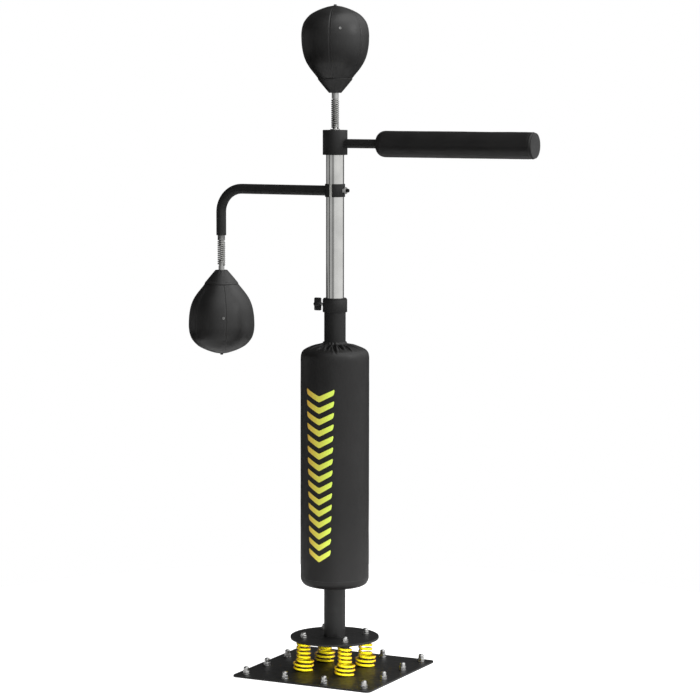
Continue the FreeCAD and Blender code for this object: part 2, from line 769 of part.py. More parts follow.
def build_arm():
    """A tube that leaves the clamp level, bends down through a quarter turn and ends in a ferrule."""
    path = arm_path()
    body = doc.addObject("Part::Feature", "ArmTube")
    outer = swept_tube(path, sheet.arm_rad)
    inner = swept_tube(path, sheet.arm_bore)
    body.Shape = outer.cut(inner)
    doc.recompute()
    height = size("arm_height")
    saddle = rod(size("band_rad") + size("weld_gap"), 80, (0, 0, height - 40))
    cut("arm_tube", body, saddle)

    out = size("arm_out")
    end = size("arm_end")
    low = size("ferrule_low")
    outline = [
        (0, 0), (size("spigot_rad"), 0), (size("spigot_rad"), size("spigot_long")),
        (size("ferrule_rad"), size("spigot_long")),
        (size("ferrule_rad"), end - low + size("spigot_long") - 0.1),
        (size("ferrule_plug"), end - low + size("spigot_long") - 0.1),
        (size("ferrule_plug"), end - low + size("spigot_long") + size("ferrule_plug_long")),
        (0, end - low + size("spigot_long") + size("ferrule_plug_long")),
    ]
    keep(turned("ferrule", outline, (-out, 0, low - size("spigot_long"))), "arm_ferrule")


def arm_path():
    """Centre line of the arm: level, a quarter turn, then straight down."""
    out, height = sheet.arm_out, sheet.arm_height
    bend, end = sheet.arm_bend, sheet.arm_end
    turn_in = V(-(out - bend), 0, height)
    turn_out = V(-out, 0, height - bend)
    slant = bend * math.sqrt(0.5)
    middle = V(-(out - bend) - slant, 0, height - bend + slant)
    return Part.Wire([
        Part.LineSegment(V(-15, 0, height), turn_in).toShape(),
        Part.Arc(turn_in, middle, turn_out).toShape(),
        Part.LineSegment(turn_out, V(-out, 0, end)).toShape(),
    ])


def swept_tube(path, radius):
    start = path.Edges[0].valueAt(path.Edges[0].FirstParameter)
    section = Part.Wire(Part.Edge(Part.Circle(start, V(-1, 0, 0), radius)))
    return path.makePipeShell([section], True, False)


# ---------------------------------------------------------------- sprung balls

def ball_spring(label, low, high, x):
    """A close coil of one wire between two faces."""
    wire = size("coil_wire")
    start = low + wire / 2 + 0.1
    tall = high - low - wire - 0.2
    turns = round(tall.value / SIZES["ball_pitch"])
    path = helix(size("coil_rad"), tall / turns, as_dim(turns), start)
    spring = coil(wire, size("coil_rad"), start, [path])
    place(spring, (x, 0, 0))
    keep(spring, label)


def half_ball(radius, near, up):
    """Half an ellipsoid of revolution, on one side of the ball's widest circle."""
    piece = doc.addObject("Part::Ellipsoid", "HalfBall")
    bind(piece, "Radius1", near)
    bind(piece, "Radius2", radius)
    bind(piece, "Radius3", radius)
    piece.Angle1 = 0 if up else -90
    piece.Angle2 = 90 if up else 0
    piece.Angle3 = 360
    return piece


def ball_form(inset, neck, turn):
    """The whole ball taken in by an inset: a long half towards the neck and a short one beyond."""
    radius = size("ball_rad") - inset
    near = half_ball(radius, size("ball_near") - inset, False)
    far = half_ball(radius, size("ball_far") - inset, True)
    both = doc.addObject("Part::MultiFuse", "BallForm")
    both.Shapes = [near, far]
    place(both, neck, turn)
    doc.recompute()
    return both


def build_ball(prefix, x, neck, up, stem_radius, stem_from):
    """Stem, cuff, stitched cover, bladder and end nub of one ball."""
    sign = 1 if up else -1
    turn = None if up else UPSIDE_DOWN
    centre = (x, 0, neck + size("ball_mid") * sign)
    skin, gap = size("ball_skin"), size("skin_gap")
    cut(f"{prefix}_cover", ball_form(as_dim(0), centre, turn), ball_form(skin, centre, turn))
    outer = ball_form(skin + gap, centre, turn)
    inner = ball_form(skin + gap + size("bladder"), centre, turn)
    cut(f"{prefix}_bladder", outer, inner)

    tall = size("ball_cuff_tall")
    bore = stem_radius + 0.2
    cone = turned("cone", [
        (bore, 0), (size("cuff_rad"), 0), (size("cuff_top_rad"), tall), (bore, tall),
    ], (x, 0, neck), turn)
    cut(f"{prefix}_cuff", cone, ball_form(-size("ball_gap"), centre, turn))

    spigot = size("spigot_long")
    away = (neck - stem_from) * sign
    top = spigot + away + size("stem_into")
    outline = [
        (0, 0), (size("spigot_rad"), 0), (size("spigot_rad"), spigot),
        (stem_radius, spigot), (stem_radius, top), (0, top),
    ]
    stem = turned("stem", outline, (x, 0, stem_from - spigot * sign), turn)
    keep(stem, f"{prefix}_stem")

    nub_from = neck + (size("ball_mid") + size("ball_far") + size("nub_gap")) * sign
    nub = size("nub_rad")
    outline = [(0, 0), (nub, 0), (nub * 0.8, size("nub_tall")), (0, size("nub_tall"))]
    keep(turned("nub", outline, (x, 0, nub_from), turn), f"{prefix}_nub")


def build_top_spring_seat():
    thick = size("top_seat_thick")
    spigot = size("spigot_rad")
    tall = thick + size("spigot_long")
    outline = [
        (0, 0), (size("top_seat_rad"), 0), (size("top_seat_rad"), thick),
        (spigot, thick), (spigot, tall), (0, tall),
    ]
    keep(turned("seat", outline, (0, 0, size("top_seat_low"))), "top_spring_seat")


def build_sprung_balls():
    build_top_spring_seat()
    seat = size("top_seat_low") + size("top_seat_thick")
    ball_spring("top_ball_spring", seat, size("top_stem_low"), as_dim(0))
    top_stem = size("top_stem_low")
    build_ball("top_ball", as_dim(0), size("top_neck"), True, size("top_stem_rad"), top_stem)
    out = -size("arm_out")
    ball_spring("arm_ball_spring", size("arm_stem_top"), size("ferrule_low"), out)
    arm_stem = size("arm_stem_top")
    build_ball("arm_ball", out, size("arm_neck"), False, size("arm_stem_rad"), arm_stem)


# ---------------------------------------------------------------- checking and saving

def check_document():
    for thing in doc.Objects:
        if "Invalid" in thing.State or "Error" in thing.State:
            raise RuntimeError(f"{thing.Label} ({thing.Name}) is in state {thing.State}")
    for node in nodes:
        if node.Shape.isNull() or not node.Shape.isValid():
            raise RuntimeError(f"{node.Label} has a bad shape")
        if not node.Shape.Solids:
            raise RuntimeError(f"{node.Label} has no solid")


def save_nodes():
    os.makedirs("parts", exist_ok=True)
    for node in nodes:
        node.Shape.exportStep(os.path.join("parts", f"{node.Label}.step"))
        print(f"{node.Label:28s} {len(node.Shape.Solids):3d} {node.Shape.Volume:14.1f}")


fill_sheet()
build_base_plate()
build_edge_fasteners()
build_spring_seats()
build_base_springs()
build_flange()
build_lower_tube()
build_bag()
build_collar()
build_wing_knob()
build_mast()
build_bar()
build_clamp()
build_arm()
build_sprung_balls()
doc.recompute()
check_document()
save_nodes()
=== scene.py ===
"""Spring reflex bag: coats, leather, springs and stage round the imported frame."""

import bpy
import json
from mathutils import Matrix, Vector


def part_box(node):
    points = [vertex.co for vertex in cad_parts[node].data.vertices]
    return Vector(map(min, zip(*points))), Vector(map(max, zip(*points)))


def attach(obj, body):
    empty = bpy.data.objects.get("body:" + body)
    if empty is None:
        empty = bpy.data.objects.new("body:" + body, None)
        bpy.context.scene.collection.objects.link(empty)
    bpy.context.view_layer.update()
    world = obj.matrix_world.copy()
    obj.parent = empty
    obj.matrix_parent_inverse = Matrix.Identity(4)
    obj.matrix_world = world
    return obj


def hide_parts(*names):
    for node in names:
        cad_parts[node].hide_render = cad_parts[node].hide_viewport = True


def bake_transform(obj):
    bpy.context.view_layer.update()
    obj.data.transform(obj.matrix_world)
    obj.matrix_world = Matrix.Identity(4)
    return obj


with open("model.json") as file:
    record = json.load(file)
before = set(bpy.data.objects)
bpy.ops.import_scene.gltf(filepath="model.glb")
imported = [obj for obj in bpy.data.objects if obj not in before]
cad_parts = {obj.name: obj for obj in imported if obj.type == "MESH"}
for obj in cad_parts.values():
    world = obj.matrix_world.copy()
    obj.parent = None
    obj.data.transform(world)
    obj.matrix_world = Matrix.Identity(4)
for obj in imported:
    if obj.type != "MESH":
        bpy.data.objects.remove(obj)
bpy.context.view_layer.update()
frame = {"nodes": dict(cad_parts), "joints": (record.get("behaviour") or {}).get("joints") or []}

import json
import math
import random

import bmesh
import bpy
from bpy.props import FloatProperty, FloatVectorProperty, IntProperty, PointerProperty
from mathutils import Quaternion, Vector, noise

bl_info = {
    "name": "Spring Reflex Bag",
    "version": (1, 0, 0),
    "blender": (4, 5, 0),
    "location": "View3D > Sidebar > Reflex Bag",
    "description": "Builds the visible pieces of a free-standing spring reflex bag round its frame",
    "category": "Object",
}

TAU = 2 * math.pi
BAG_RADIUS = 0.0957
SPRINGS = ("back_right", "back_left", "front_left", "front_right")


def colour(name, words, default):
    return FloatVectorProperty(name=name, description=words, default=default, subtype="COLOR", min=0, max=1)


def length(name, words, default):
    return FloatProperty(name=name, description=words, default=default, unit="LENGTH", subtype="DISTANCE")


def amount(name, words, default, **more):
    return FloatProperty(name=name, description=words, default=default, min=0, **more)


class ReflexBagFinish(bpy.types.PropertyGroup):
    """Colours of the bag's coats, leather and print."""

    coat: colour("Powder coat", "Colour of the steel plate, flange, tubes and hub", (0.0085, 0.0085, 0.0083))
    leather: colour("Bag leather", "Colour of the bag's and the bar's cover", (0.0105, 0.0100, 0.0098))
    ball: colour("Ball leather", "Colour of both balls and their cuffs", (0.0095, 0.0092, 0.0090))
    spring: colour("Base springs", "Yellow of the four base springs", (1.0, 0.86, 0.014))
    # Painted shade: amber laid on the springs where their wire turns away from the view.
    spring_painted_shade: colour("Spring edges", "Amber the springs' enamel turns where it curves away",
                        (0.66, 0.30, 0.005))
    zinc: colour("Zinc", "Colour of the plated bolts, nuts and seats", (0.66, 0.66, 0.65))
    chrome: colour("Chrome", "Colour of the mast's plating", (0.56, 0.56, 0.545))
    print_left: colour("Print, left", "Gold at the left edge of the bag's print", (0.50, 0.31, 0.045))
    print_right: colour("Print, right", "Lime at the right edge of the bag's print", (0.62, 0.78, 0.10))


class ReflexBagSizes(bpy.types.PropertyGroup):
    """Sizes of the soft goods' folds, seams and stitches."""

    pleats: IntProperty(name="Pleats", description="Folds gathered round the bag's neck", default=17, min=6)
    pleat_depth: length("Pleat depth", "Depth of the folds gathered round the bag's neck", 0.0062)
    seam_depth: length("Seam depth", "Depth of a sewn seam's groove", 0.0011)
    stitch: length("Stitch", "Length of one stitch", 0.0042)
    thread: length("Thread", "Thickness of the sewing thread", 0.0009)
    panels: IntProperty(name="Ball panels", description="Leather panels round each ball", default=6, min=3)
    chevrons: IntProperty(name="Chevrons", description="Chevrons in the bag's printed column",
                          default=15, min=2)


class ReflexBagStage(bpy.types.PropertyGroup):
    """Floor and light."""

    floor: colour("Floor", "Colour of the plain floor", (0.90, 0.90, 0.895))
    glow: amount("Floor glow", "Whiteness the floor adds where it is seen", 0.80)
    room: amount("Room light", "Strength of the studio's walls", 1.0)
    key: amount("Soft box", "Power of the soft box on the right", 26, unit="POWER")
    low_key: amount("Low light", "Power of the low light on the base springs", 0.8, unit="POWER")


# ------------------------------------------------------------------ materials

class Finish:
    """A material being built: a Principled shader and the nodes that vary it."""

    def __init__(self, name, base, roughness, metallic=0.0, **sockets):
        self.material = bpy.data.materials.new(name)
        self.material.use_nodes = True
        self.tree = self.material.node_tree
        self.shader = self.tree.nodes["Principled BSDF"]
        self.shader.inputs["Base Color"].default_value = (*base, 1)
        self.shader.inputs["Roughness"].default_value = roughness
        self.shader.inputs["Metallic"].default_value = metallic
        for socket, value in sockets.items():
            self.shader.inputs[socket.replace("_", " ")].default_value = value
        self.base = base
        self.bumped = None

    def node(self, kind, **settings):
        node = self.tree.nodes.new(kind)
        for name, value in settings.items():
            setattr(node, name, value)
        return node

    def link(self, a, b):
        self.tree.links.new(a, b)

    def place(self, stretch=(1, 1, 1)):
        """Object coordinates, in metres, stretched along an axis if asked."""
        coordinates = self.node("ShaderNodeTexCoord")
        mapping = self.node("ShaderNodeMapping")
        mapping.inputs["Scale"].default_value = stretch
        self.link(coordinates.outputs["Object"], mapping.inputs["Vector"])
        return mapping.outputs["Vector"]

    def speckle(self, scale, detail, stretch=(1, 1, 1)):
        grain = self.node("ShaderNodeTexNoise")
        grain.inputs["Scale"].default_value = scale
        grain.inputs["Detail"].default_value = detail
        self.link(self.place(stretch), grain.inputs["Vector"])
        return grain.outputs["Fac"]

    def cells(self, scale):
        grain = self.node("ShaderNodeTexVoronoi", feature="DISTANCE_TO_EDGE")
        grain.inputs["Scale"].default_value = scale
        self.link(self.place(), grain.inputs["Vector"])
        return grain.outputs["Distance"]

    def mapped(self, source, low, high, start=0.3, end=0.7):
        ranged = self.node("ShaderNodeMapRange")
        for name, value in zip(("From Min", "From Max", "To Min", "To Max"), (start, end, low, high)):
            ranged.inputs[name].default_value = value
        self.link(source, ranged.inputs["Value"])
        return ranged.outputs["Result"]

    def tint(self, source, dark, light):
        """Colour between two shades of the base."""
        ramp = self.node("ShaderNodeValToRGB")
        ramp.color_ramp.elements[0].position = 0.3
        ramp.color_ramp.elements[1].position = 0.7
        ramp.color_ramp.elements[0].color = (*[c * dark for c in self.base], 1)
        ramp.color_ramp.elements[1].color = (*[min(c * light, 1) for c in self.base], 1)
        self.link(source, ramp.inputs["Fac"])
        self.link(ramp.outputs["Color"], self.shader.inputs["Base Color"])

    def shine(self, source, low, high):
        self.link(self.mapped(source, low, high), self.shader.inputs["Roughness"])

    def bump(self, source, strength, depth):
        """One more layer of relief, on top of those already there."""
        bump = self.node("ShaderNodeBump")
        bump.inputs["Strength"].default_value = strength
        bump.inputs["Distance"].default_value = depth
        self.link(source, bump.inputs["Height"])
        if self.bumped:
            self.link(self.bumped, bump.inputs["Normal"])
        self.bumped = bump.outputs["Normal"]
        self.link(self.bumped, self.shader.inputs["Normal"])


def powder_coat(base):
    """Baked black powder: fine orange peel and a soft, slightly uneven shine."""
    coat = Finish("Powder_coat", base, 0.48, Specular_IOR_Level=0.50)
    coat.tint(coat.speckle(14, 4), 0.82, 1.25)
    coat.shine(coat.speckle(60, 4), 0.42, 0.56)
    coat.bump(coat.speckle(1400, 2), 0.22, 0.0004)
    return coat.material


def soft_leather(name, base, grain=520, rough=(0.38, 0.54), gloss=0.5):
    """Pebbled synthetic leather: small cells, finer pores, worn and duller patches."""
    leather = Finish(name, base, 0.48, Specular_IOR_Level=gloss)
    leather.tint(leather.speckle(9, 5), 0.78, 1.28)
    leather.shine(leather.speckle(22, 5), *rough)
    leather.bump(leather.cells(grain), 0.28, 0.0005)
    leather.bump(leather.speckle(grain * 3.2, 3), 0.16, 0.0003)
    return leather.material


def plated(name, base, low, high, brushed=(1, 1, 1), scale=120):
    """Plated or bare steel with faint drawing lines."""
    steel = Finish(name, base, (low + high) / 2, 1.0)
    steel.tint(steel.speckle(scale / 4, 3), 0.88, 1.06)
    steel.shine(steel.speckle(scale, 4, brushed), low, high)
    steel.bump(steel.speckle(scale * 5, 2, brushed), 0.05, 0.0002)
    return steel.material


def spring_paint(base, edge):
    """Glossy yellow enamel with painted shade: it turns amber where the wire curves away from the view."""
    paint = Finish("Spring_enamel", base, 0.26, 0.0, Coat_Weight=0.35, Coat_Roughness=0.08)
    # Painted shade: yellow where the wire faces the view, amber where it turns away.
    facing = paint.node("ShaderNodeLayerWeight")
    facing.inputs["Blend"].default_value = 0.50
    ramp = paint.node("ShaderNodeValToRGB")
    ramp.color_ramp.elements[0].position = 0.18
    ramp.color_ramp.elements[0].color = (*base, 1)
    ramp.color_ramp.elements[1].position = 0.86
    ramp.color_ramp.elements[1].color = (*edge, 1)
    paint.link(facing.outputs["Facing"], ramp.inputs["Fac"])
    paint.link(ramp.outputs["Color"], paint.shader.inputs["Base Color"])
    paint.shine(paint.speckle(160, 3), 0.20, 0.34)
    paint.bump(paint.speckle(700, 2), 0.12, 0.0003)
    return paint.material


def moulded(name, base, rough=0.42):
    """Moulded plastic with a fine spark-eroded grain."""
    plastic = Finish(name, base, rough)
    plastic.tint(plastic.speckle(30, 3), 0.85, 1.2)
    plastic.shine(plastic.speckle(90, 3), rough - 0.07, rough + 0.08)
    plastic.bump(plastic.speckle(1800, 2), 0.18, 0.0003)
    return plastic.material


def thread_finish(base):
    """Twisted sewing thread."""
    thread = Finish("Sewing_thread", base, 0.6, 0.0, Sheen_Weight=0.2)
    thread.tint(thread.speckle(400, 2), 0.7, 1.4)
    thread.bump(thread.speckle(2600, 2), 0.4, 0.0003)
    return thread.material


def print_ink(left, right, low, high):
    """Screen ink that runs from gold at one edge to lime at the other, and glows in these colours as painted
    light, so it stays bright where the bag is in shade.
    """
    # Painted light: the ink glows at half strength though it is no lamp.
    ink = Finish("Print_ink", left, 0.34, Emission_Strength=0.5)
    across = ink.node("ShaderNodeSeparateXYZ")
    ink.link(ink.place(), across.inputs["Vector"])
    ramp = ink.node("ShaderNodeValToRGB")
    ramp.color_ramp.elements[0].color = (*left, 1)
    ramp.color_ramp.elements[1].color = (*right, 1)
    middle = ramp.color_ramp.elements.new(0.5)
    middle.color = (*[(a * 0.55 + b * 0.45) for a, b in zip(left, right)], 1)
    ink.link(ink.mapped(across.outputs["X"], 0, 1, low, high), ramp.inputs["Fac"])
    ink.link(ramp.outputs["Color"], ink.shader.inputs["Base Color"])
    # Painted light: the same colours drive the ink's glow.
    ink.link(ramp.outputs["Color"], ink.shader.inputs["Emission Color"])
    ink.shine(ink.speckle(80, 3), 0.28, 0.42)
    ink.bump(ink.cells(520), 0.18, 0.0004)
    return ink.material


MATERIALS = {}


def make_materials(finish):
    """Every finish of the bag, by the name its pieces ask for."""
    MATERIALS.update(
        coat=powder_coat(finish.coat),
        leather=soft_leather("Bag_leather", tuple(finish.leather)),
        ball=soft_leather("Ball_leather", tuple(finish.ball), 430, (0.36, 0.50), 0.68),
        spring=spring_paint(tuple(finish.spring), tuple(finish.spring_painted_shade)),
        zinc=plated("Zinc_plate", tuple(finish.zinc), 0.22, 0.38),
        steel=plated("Bare_steel", (0.50, 0.50, 0.49), 0.26, 0.42),
        coil=plated("Spring_steel", (0.46, 0.46, 0.445), 0.20, 0.34),
        chrome=plated("Chrome_plate", tuple(finish.chrome), 0.10, 0.17, (1, 1, 0.02), 90),
        plastic=moulded("Black_plastic", (0.010, 0.010, 0.010)),
        end_cap=moulded("End_cap_plastic", (0.040, 0.040, 0.040), 0.5),
        nylon=moulded("Nylon", (0.70, 0.70, 0.66), 0.45),
        rubber=moulded("Rubber", (0.012, 0.012, 0.012), 0.7),
        foam=moulded("Foam", (0.12, 0.12, 0.13), 0.9),
        black_screw=plated("Blackened_screw", (0.035, 0.035, 0.035), 0.35, 0.5),
        thread=thread_finish((0.035, 0.035, 0.035)),
        ink=print_ink(tuple(finish.print_left), tuple(finish.print_right), -0.040, 0.036),
    )


# ------------------------------------------------------------------ mesh tools

def polar(radius, angle, height):
    """A point at an angle round the upright axis."""
    return Vector((radius * math.cos(angle), radius * math.sin(angle), height))


def bell(away, width):
    """1 in the middle of a groove or ridge, fading to nothing about two widths away."""
    return math.exp(-(away / width) ** 2)


def finish_mesh(name, form, material, smooth=True):
    """A new object from a bmesh, smooth unless asked otherwise, with its material."""
    mesh = bpy.data.meshes.new(name)
    bmesh.ops.recalc_face_normals(form, faces=form.faces)
    form.to_mesh(mesh)
    form.free()
    for face in mesh.polygons:
        face.use_smooth = smooth
    mesh.materials.append(MATERIALS[material])
    piece = bpy.data.objects.new(name, mesh)
    bpy.context.scene.collection.objects.link(piece)
    return piece


def belongs(piece, body, slot, *nodes):
    """The piece moves with a body, and stands for CAD nodes. Its slot is not used."""
    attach(piece, body)
    if nodes:
        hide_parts(*nodes)


def grid(rows, ends=(False, False)):
    """A bmesh of quads through rows of points, each row a ring. Either end may get a flat face."""
    mesh = bmesh.new()
    made = [[mesh.verts.new(p) for p in row] for row in rows]
    for low, high in zip(made, made[1:]):
        for i in range(len(low)):
            j = (i + 1) % len(low)
            mesh.faces.new((low[i], low[j], high[j], high[i]))
    for closed, ring in zip(ends, (made[0], made[-1])):
        if closed:
            mesh.faces.new(ring)
    return mesh


def smooth_profile(points, steps):
    """Points along a Catmull-Rom curve through a profile."""
    points = [Vector((a, b, 0)) for a, b in points]
    padded = [points[0] * 2 - points[1]] + points + [points[-1] * 2 - points[-2]]
    found = []
    for a, b, c, d in zip(padded, padded[1:], padded[2:], padded[3:]):
        for i in range(steps):
            t = i / steps
            p = 0.5 * (2 * b + (c - a) * t + (2 * a - 5 * b + 4 * c - d) * t * t
                       + (3 * b - a - 3 * c + d) * t ** 3)
            found.append((p.x, p.y))
    found.append((points[-1].x, points[-1].y))
    return found


def lathe(name, profile, material, segments, shape=None, to_world=None, ends=(False, False)):
    """A surface of revolution. shape(radius, height, angle) may move each point; to_world places it."""
    rows = []
    for radius, height in profile:
        row = []
        for i in range(segments):
            angle = TAU * i / segments
            r, h = shape(radius, height, angle) if shape else (radius, height)
            point = polar(r, angle, h)
            row.append(to_world(point) if to_world else point)
        rows.append(row)
    return finish_mesh(name, grid(rows, ends), material)


def tube_along(points, radius, sides):
    """A bmesh tube with flat ends through points that lie close together."""
    rows = []
    count = len(points)
    up = Vector((0, 0, 1))
    for i, point in enumerate(points):
        ahead = (points[min(i + 1, count - 1)] - points[max(i - 1, 0)]).normalized()
        side = ahead.cross(up).normalized()
        over = side.cross(ahead)
        rows.append([
            point + side * (radius * math.cos(TAU * k / sides)) + over * (radius * math.sin(TAU * k / sides))
            for k in range(sides)
        ])
    return grid(rows, (True, True))


def merge(parts):
    """Several bmeshes as one."""
    whole = bmesh.new()
    for part in parts:
        held = bpy.data.meshes.new("held")
        part.to_mesh(held)
        part.free()
        whole.from_mesh(held)
        bpy.data.meshes.remove(held)
    return whole


# Lengths from one stitch to the next.
STITCH_PITCH = 1.35
# Sections along one stitch: place in lengths, lift and width in half thicknesses.
STITCH_SECTIONS = (
    (-0.5, -0.35, 0.35), (-0.36, 0.15, 0.8), (0, 0.35, 1), (0.36, 0.15, 0.8), (0.5, -0.35, 0.35),
)
STITCH_SIDES = 6


def stitches(name, line, normal_at, sizes, body, slot):
    """A row of raised stitches along a line of points on a surface."""
    spots = []
    distance = 0.0
    for a, b in zip(line, line[1:]):
        step = (b - a).length
        while distance < step:
            spots.append((a.lerp(b, distance / step), (b - a).normalized()))
            distance += sizes.stitch * STITCH_PITCH
        distance -= step
    parts = []
    for middle, along in spots:
        normal = normal_at(middle)
        across = along.cross(normal).normalized()
        rows = []
        for place, lift, wide in STITCH_SECTIONS:
            centre = middle + along * (sizes.stitch * place) + normal * (sizes.thread * lift * 0.5)
            row = []
            for k in range(STITCH_SIDES):
                spoke = polar(sizes.thread * 0.5 * wide, TAU * k / STITCH_SIDES, 0)
                row.append(centre + across * spoke.x + normal * spoke.y)
            rows.append(row)
        parts.append(grid(rows, (True, True)))
    belongs(finish_mesh(name, merge(parts), "thread"), body, slot)


# ------------------------------------------------------------------ pieces

CAD_FINISHES = {
    "coat": ("base_plate", "flange_plate", "lower_tube", "height_collar", "hub_sleeve", "bar_tube",
             "clamp_band", "arm_tube", "lower_spring_seats", "upper_spring_seats"),
    "zinc": ("hold_down_bolts", "hold_down_washers", "hold_down_nuts", "hold_down_cap_nuts",
             "seat_screws", "flange_washers", "flange_nuts",
             "flange_cap_nuts", "knob_screw", "clamp_nut"),
    "chrome": ("mast_tube",),
    "steel": ("hub_stop_ring", "top_spring_seat", "arm_ferrule", "top_ball_stem", "arm_ball_stem"),
    "plastic": ("collar_bush", "wing_knob", "mast_foot_bush", "mast_top_plug"),
    "end_cap": ("bar_end_disc",),
    "nylon": ("knob_pad", "hub_lower_bush", "hub_upper_bush", "clamp_liner", "clamp_pad"),
    "rubber": ("top_ball_nub", "arm_ball_nub", "top_ball_bladder", "arm_ball_bladder"),
    "black_screw": ("clamp_screw",),
    "foam": ("bag_core", "bar_foam"),
}
SOFTENED = {
    "base_plate": 0.0007, "flange_plate": 0.0009, "height_collar": 0.0008, "hub_sleeve": 0.0008,
    "hold_down_nuts": 0.0006, "flange_nuts": 0.0006, "hold_down_washers": 0.0003, "flange_washers": 0.0003,
    "wing_knob": 0.0008, "clamp_band": 0.0005, "clamp_nut": 0.0005, "arm_ferrule": 0.0005,
    "top_spring_seat": 0.0004, "bar_end_disc": 0.0005, "collar_bush": 0.0005, "lower_spring_seats": 0.0006,
}


# Points closer than this are welded, and edges sharper than this many degrees are softened.
WELD_WITHIN = 0.00001
SHARP_EDGE = 35


class REFLEXBAG_OT_metalwork(bpy.types.Operator):
    """Coat, plate and soften the edges of the frame's own pieces"""

    bl_idname = "reflexbag.metalwork"
    bl_label = "Metalwork"

    def execute(self, context):
        make_materials(context.scene.reflexbag_finish)
        for material, names in CAD_FINISHES.items():
            for name in names:
                for slot in frame["nodes"][name].material_slots:
                    slot.material = MATERIALS[material]
        for name, width in SOFTENED.items():
            piece = frame["nodes"][name]
            weld = piece.modifiers.new("Weld", "WELD")
            weld.merge_threshold = WELD_WITHIN
            bevel = piece.modifiers.new("Edges", "BEVEL")
            bevel.width = width
            bevel.segments = 2
            bevel.limit_method = "ANGLE"
            bevel.angle_limit = math.radians(SHARP_EDGE)
        return {"FINISHED"}


# How finely a coil is wound.
STEPS_PER_TURN = 48
# The base springs: turns, distance of each axis from the two centre lines, the height where they bend,
# and a pair of heights for each of the lower and the upper half.
BASE_TURNS = 7.0
BASE_SPREAD = 0.0647
BASE_BEND = 0.048
BASE_BLENDS = ((0.028, 0.0445), (0.0515, 0.074))
# The turn at which the wide coils begin to narrow, and how many turns that takes.
NARROW_FROM, NARROW_OVER = 1.95, 0.6
# Lengths in from each end of a ball spring, and out from each side of the height where it bends.
BALL_SPRING_END, BALL_SPRING_BEND = 0.006, 0.003


def coil_points(centre, path, start, end):
    """Points on a coil between two heights. path["at"](turn) gives the radius and height there."""
    turns = path["turns"]
    steps = int(turns * STEPS_PER_TURN)
    points = []
    for i in range(steps + 1):
        turn = turns * i / steps
        radius, height = path["at"](turn)
        if start - 1e-9 <= height <= end + 1e-9:
            points.append(centre + polar(radius, TAU * turn * path["hand"], height))
    return points


def split_coil(name, centre, path, wire, pivot, bodies, blends, material, node, sides):
    """A coil in two halves that meet at the height where it bends. The bodies given are not used."""
    low_end = path["at"](0)[1]
    high_end = path["at"](path["turns"])[1]
    halves = (("lower", low_end, pivot), ("upper", pivot, high_end))
    for (word, start, end), pair, (bend_from, bend_to) in zip(halves, bodies, blends):
        points = coil_points(centre, path, start, end)
        piece = finish_mesh(f"{name}_{word}", tube_along(points, wire / 2, sides), material)
        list(pair)
        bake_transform(piece)
        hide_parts(node)


class REFLEXBAG_OT_base_springs(bpy.types.Operator):
    """Wind the four yellow base springs: wide turns below, narrow turns above"""

    bl_idname = "reflexbag.base_springs"
    bl_label = "Base springs"

    wire: length("Wire", "Thickness of the spring wire", 0.007)
    wide: length("Wide turns", "Radius of the two turns at the foot", 0.0265)
    narrow: length("Narrow turns", "Radius of the turns above", 0.017)

    def execute(self, context):
        low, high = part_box("base_spring_back_right")
        start, end = low.z + self.wire / 2, high.z - self.wire / 2
        pitch = (end - start) / BASE_TURNS

        def at(turn):
            ease = min(max((turn - NARROW_FROM) / NARROW_OVER, 0), 1)
            ease = ease * ease * (3 - 2 * ease)
            return self.wide + (self.narrow - self.wide) * ease, start + pitch * turn

        path = {"turns": BASE_TURNS, "at": at, "hand": -1}
        for name in SPRINGS:
            low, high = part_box(f"base_spring_{name}")
            centre = Vector((
                math.copysign(BASE_SPREAD, low.x + high.x), math.copysign(BASE_SPREAD, low.y + high.y), 0,
            ))
            split_coil(f"Base_spring_{name}", centre, path, self.wire, BASE_BEND,
                       (("base", "springs"), ("springs", "column")), BASE_BLENDS,
                       "spring", f"base_spring_{name}", 14)
        return {"FINISHED"}


class REFLEXBAG_OT_ball_springs(bpy.types.Operator):
    """Wind the two close steel springs that carry the balls"""

    bl_idname = "reflexbag.ball_springs"
    bl_label = "Ball springs"

    wire: length("Wire", "Thickness of the spring wire", 0.0042)
    radius: length("Radius", "Radius of the coil at the wire's centre", 0.00905)

    def execute(self, context):
        for name, turns, bodies in (
            ("top_ball_spring", 14, (("mast", "top_spring"), ("top_spring", "top_ball"))),
            ("arm_ball_spring", 12, (("arm_ball", "arm_spring"), ("arm_spring", "arm"))),
        ):
            low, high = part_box(name)
            start, end = low.z + self.wire / 2, high.z - self.wire / 2
            body = name.replace("_ball", "")
            pivot = next(Vector(joint["pos_m"]) for joint in frame["joints"] if joint["child"] == body)
            centre = Vector((pivot.x, pivot.y, 0))
            pitch = (end - start) / turns
            path = {"turns": turns, "at": lambda turn: (self.radius, start + pitch * turn), "hand": 1}
            near, far = pivot.z - BALL_SPRING_BEND, pivot.z + BALL_SPRING_BEND
            blends = ((low.z + BALL_SPRING_END, near), (far, high.z - BALL_SPRING_END))
            split_coil(name.capitalize(), centre, path, self.wire, pivot.z, bodies, blends,
                       "coil", name, 10)
        return {"FINISHED"}


def pleat_pattern(count, seed, reach=(0.076, 0.092)):
    """Folds at uneven angles, each with its own depth, width, reach and lean."""
    chance = random.Random(seed)
    return [
        {
            "angle": TAU * (i + chance.uniform(-0.22, 0.22)) / count,
            "depth": chance.uniform(0.65, 1.15),
            "width": chance.uniform(0.0022, 0.0034),
            "reach": chance.uniform(*reach),
            "lean": chance.uniform(-0.16, 0.16),
        }
        for i in range(count)
    ]


def turn_between(a, b):
    """The smallest signed angle from b to a."""
    return (a - b + math.pi) % TAU - math.pi


